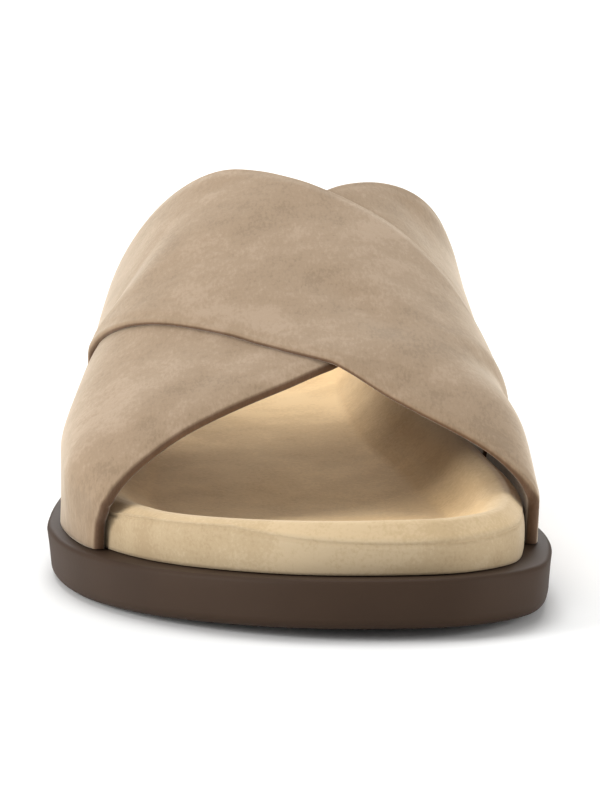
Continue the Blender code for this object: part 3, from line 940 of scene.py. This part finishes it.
def strap_section(table, turn, lift, thickness):
    """Places on Y and depths under the last's surface of a strap's section, a closed ring at each turn.

    The ring is the outer face, which rolls down towards each edge, a half round at either edge, and the
    lining. The edges have their own thickness over the instep and the wall's at the sides.
    """
    front, back = strap_edges(table, turn)
    front_slant, back_slant = slant(turn, front), slant(turn, back)
    thickness = thickness + (WALL - EDGE_SINK - thickness) * past(turn, THICKEN)
    radius = thickness / 2
    start, end = front + radius * front_slant, back - radius * back_slant
    even = np.linspace(0, 1, FACE_POINTS)
    spread = CROWDING * (1 - np.cos(np.pi * even)) / 2 + (1 - CROWDING) * even
    face_y = start + (end - start) * spread
    from_edge = np.minimum((face_y - start) / front_slant, (end - face_y) / back_slant)
    face_depth = EDGE_SINK * (1 - ease(from_edge / ROLL_RUN)) ** ROLL_POWER
    back_y = end + radius * back_slant * np.sin(EDGE_ARC)
    front_y = start - radius * front_slant * np.sin(EDGE_ARC[::-1])
    round_depth = EDGE_SINK + radius * (1 - np.cos(EDGE_ARC))
    lining_y = face_y[:, ::-1]
    below = lining_depth(turn, lining_y, from_edge[:, ::-1], EDGE_SINK + thickness, lift)
    y = np.hstack([face_y, back_y, lining_y, front_y, face_y[:, :1]])
    depth = np.hstack([face_depth, round_depth, below, round_depth[:, ::-1], face_depth[:, :1]])
    return y, depth


def strap_brown_and_shade(turn, edge_from):
    """How brown the section is: not on its face, by LINING_TINT on its lining, and at its edges rising to
    1 from edge_from degrees round them, and from BASE_EDGE_FROM near the base. At the edges the brown is
    partly painted shade, on the side turned under."""
    start = np.radians(edge_from + (BASE_EDGE_FROM - edge_from) * past(turn, BROWN_SHADE_SOONER))
    turned_in = ease((EDGE_ARC - start) / np.radians(BROWN_SHADE_RUN))
    brown_and_shade = np.zeros((len(turn), FRONT_ROUND.stop + 1))
    brown_and_shade[:, BACK_ROUND] = turned_in
    brown_and_shade[:, LINING] = LINING_TINT
    brown_and_shade[:, FRONT_ROUND] = turned_in[:, ::-1]
    return brown_and_shade


def make_strap(name, table, lift, thickness, edge_from):
    """A lined band of the last's surface: its section's ring at each turn, closed at the strap's feet.

    Each point is the last's surface less its depth along the normal, and is raised where the strap
    crosses the other one and by its creases, which fade towards the base.
    """
    turn = np.linspace(-1, 1, STRAP_STEPS + 1)[:, None]
    y, depth = strap_section(table, turn, lift, thickness)
    turned = np.broadcast_to(turn, y.shape)
    place = last_surface(turned, y)
    raised = lift * lift_share(turned, y) - depth
    raised += creases(place[..., 0], place[..., 1], STRAP_CREASES) * (1 - past(turned, TO_BASE))
    ring = place + raised[..., None] * last_normal(turned, y)
    feet = [np.stack([ring[foot, :FACE_POINTS], ring[foot, LINING][::-1]]) for foot in (0, -1)]
    # The edge mark paints the edges brown, partly as painted shade on the side of each edge turned under.
    marks = {"edge": [strap_brown_and_shade(turn, edge_from), *[np.zeros(foot.shape[:2]) for foot in feet]]}
    return new_piece(joined_mesh(name, (ring, *feet), marks))


# Taupe suede with a longer nap, brushed along the foot: soft streaks, and a pale bloom at grazing angles.
# Its lining is brown, and its turned edges are brown partly as dye and partly as painted shade on their
# under side.
strap_suede = suede(
    "taupe suede",
    colours=("#89745d", "#957f67", "#a18b74"),
    cloud=0.030,
    grain=(0.0007, 0.0020),
    sheen=0.8,
    tint=("edge", (0.42, 0.34, 0.31)),
)
under_strap = make_strap("under_strap", UNDER_STRAP, lift=0.0, thickness=0.0024, edge_from=15)
finish(under_strap, strap_suede, "upper")
over_strap = make_strap("over_strap", OVER_STRAP, lift=CROSSING_LIFT, thickness=0.0016, edge_from=45)
finish(over_strap, strap_suede, "upper")


# Floor, light and camera
# A plain floor, painted matt, in soft studio light: a key from the left, a weaker fill from the right, a
# little light from the front, and lights above and behind. The camera stands low in front of the toes.

FLOOR_REACH = 9.0
MIDDLE = Vector((0.0, 0.0, 0.03))

# The square lights, which all face the middle of the shoe: place, width in metres and power in watts.
LIGHTS = (
    ("top",   (-0.1, 0.3, 1.70), 1.2, 15.5),
    ("key",   (-1.4, -0.4, 0.55), 0.9, 20.0),
    ("front", (0.5, -1.7, 0.60), 0.9, 4.0),
    ("fill",  (1.5, -0.4, 0.40), 0.9, 11.0),
    ("heel",  (0.0, 1.3, 0.75), 0.9, 11.0),
)
WORLD_LIGHT = 0.32

# The camera: how far away and how high it stands, its turn about the shoe and its roll, how far its aim is
# moved right and up in the picture, in metres, and its focal length in millimetres.
CAMERA_DISTANCE = 2.2
CAMERA_HEIGHT = np.radians(9.02)
CAMERA_TURN = np.radians(1.8)
CAMERA_ROLL = np.radians(0.76)
AIM = (0.0032, 0.0028)
LENS = 415.0


def pale_floor():
    """A floor painted matt and nearly white, with clouds so faint that it only looks not quite even."""
    cloud_width = 2 / 3
    material, tree, place = new_material("matt studio floor")
    cloud = node(tree, "ShaderNodeTexNoise", {"Scale": 1 / cloud_width, "Detail": 2.0}, {"Vector": place})
    colour = node(
        tree,
        "ShaderNodeMix",
        {"data_type": "RGBA", 6: linear("#f8f8f7"), 7: linear("#fafaf9")},
        {0: cloud.outputs["Fac"]},
    )
    shader = node(
        tree,
        "ShaderNodeBsdfPrincipled",
        {"Roughness": 0.9, "Specular IOR Level": 0.1},
        {"Base Color": colour.outputs[2]},
    )
    node(tree, "ShaderNodeOutputMaterial", links={"Surface": shader.outputs["BSDF"]})
    return material


corners = np.array([[[-1, -1, 0], [1, -1, 0]], [[-1, 1, 0], [1, 1, 0]]], float) * FLOOR_REACH
floor = new_piece(joined_mesh("studio_floor", (corners,)))
floor.data.materials.append(pale_floor())


def softbox(name, place, size, power):
    """A square area light at a place, turned to the middle of the shoe."""
    lamp = bpy.data.lights.new(name, "AREA")
    lamp.size = size
    lamp.energy = power
    box = bpy.data.objects.new(name, lamp)
    box.location = place
    box.rotation_euler = (MIDDLE - Vector(place)).to_track_quat("-Z", "Y").to_euler()
    bpy.context.scene.collection.objects.link(box)


for light in LIGHTS:
    softbox(*light)

world = bpy.data.worlds.new("studio")
bpy.context.scene.world = world
world.use_nodes = True
world.node_tree.nodes["Background"].inputs["Color"].default_value = (1.0, 1.0, 1.0, 1.0)
world.node_tree.nodes["Background"].inputs["Strength"].default_value = WORLD_LIGHT
bpy.context.scene.view_settings.view_transform = "Standard"


def camera_place():
    """Where the camera stands and how it is turned, as a matrix.

    It looks at the middle of the shoe along a line that is turned about Z and tilted down. Its right and
    its up are rolled about that line, and its aim is then moved by AIM along them.
    """
    sin_turn, cos_turn = np.sin(CAMERA_TURN), np.cos(CAMERA_TURN)
    sin_high, cos_high = np.sin(CAMERA_HEIGHT), np.cos(CAMERA_HEIGHT)
    ahead = Vector((sin_turn * cos_high, cos_turn * cos_high, -sin_high))
    right = Vector((cos_turn, -sin_turn, 0.0))
    upward = Vector((sin_turn * sin_high, cos_turn * sin_high, cos_high))
    level = right * np.cos(CAMERA_ROLL) - upward * np.sin(CAMERA_ROLL)
    rolled = right * np.sin(CAMERA_ROLL) + upward * np.cos(CAMERA_ROLL)
    stand = MIDDLE - ahead * CAMERA_DISTANCE
    target = MIDDLE + level * AIM[0] + rolled * AIM[1]
    backwards = (stand - target).normalized()
    sideways = rolled.cross(backwards).normalized()
    facing = Matrix((sideways, backwards.cross(sideways), backwards)).transposed().to_4x4()
    facing.translation = stand
    return facing


lens = bpy.data.cameras.new("camera")
lens.lens = LENS
lens.clip_end = 50.0
camera = bpy.data.objects.new("camera", lens)
camera.matrix_world = camera_place()
bpy.context.scene.collection.objects.link(camera)
bpy.context.scene.camera = camera
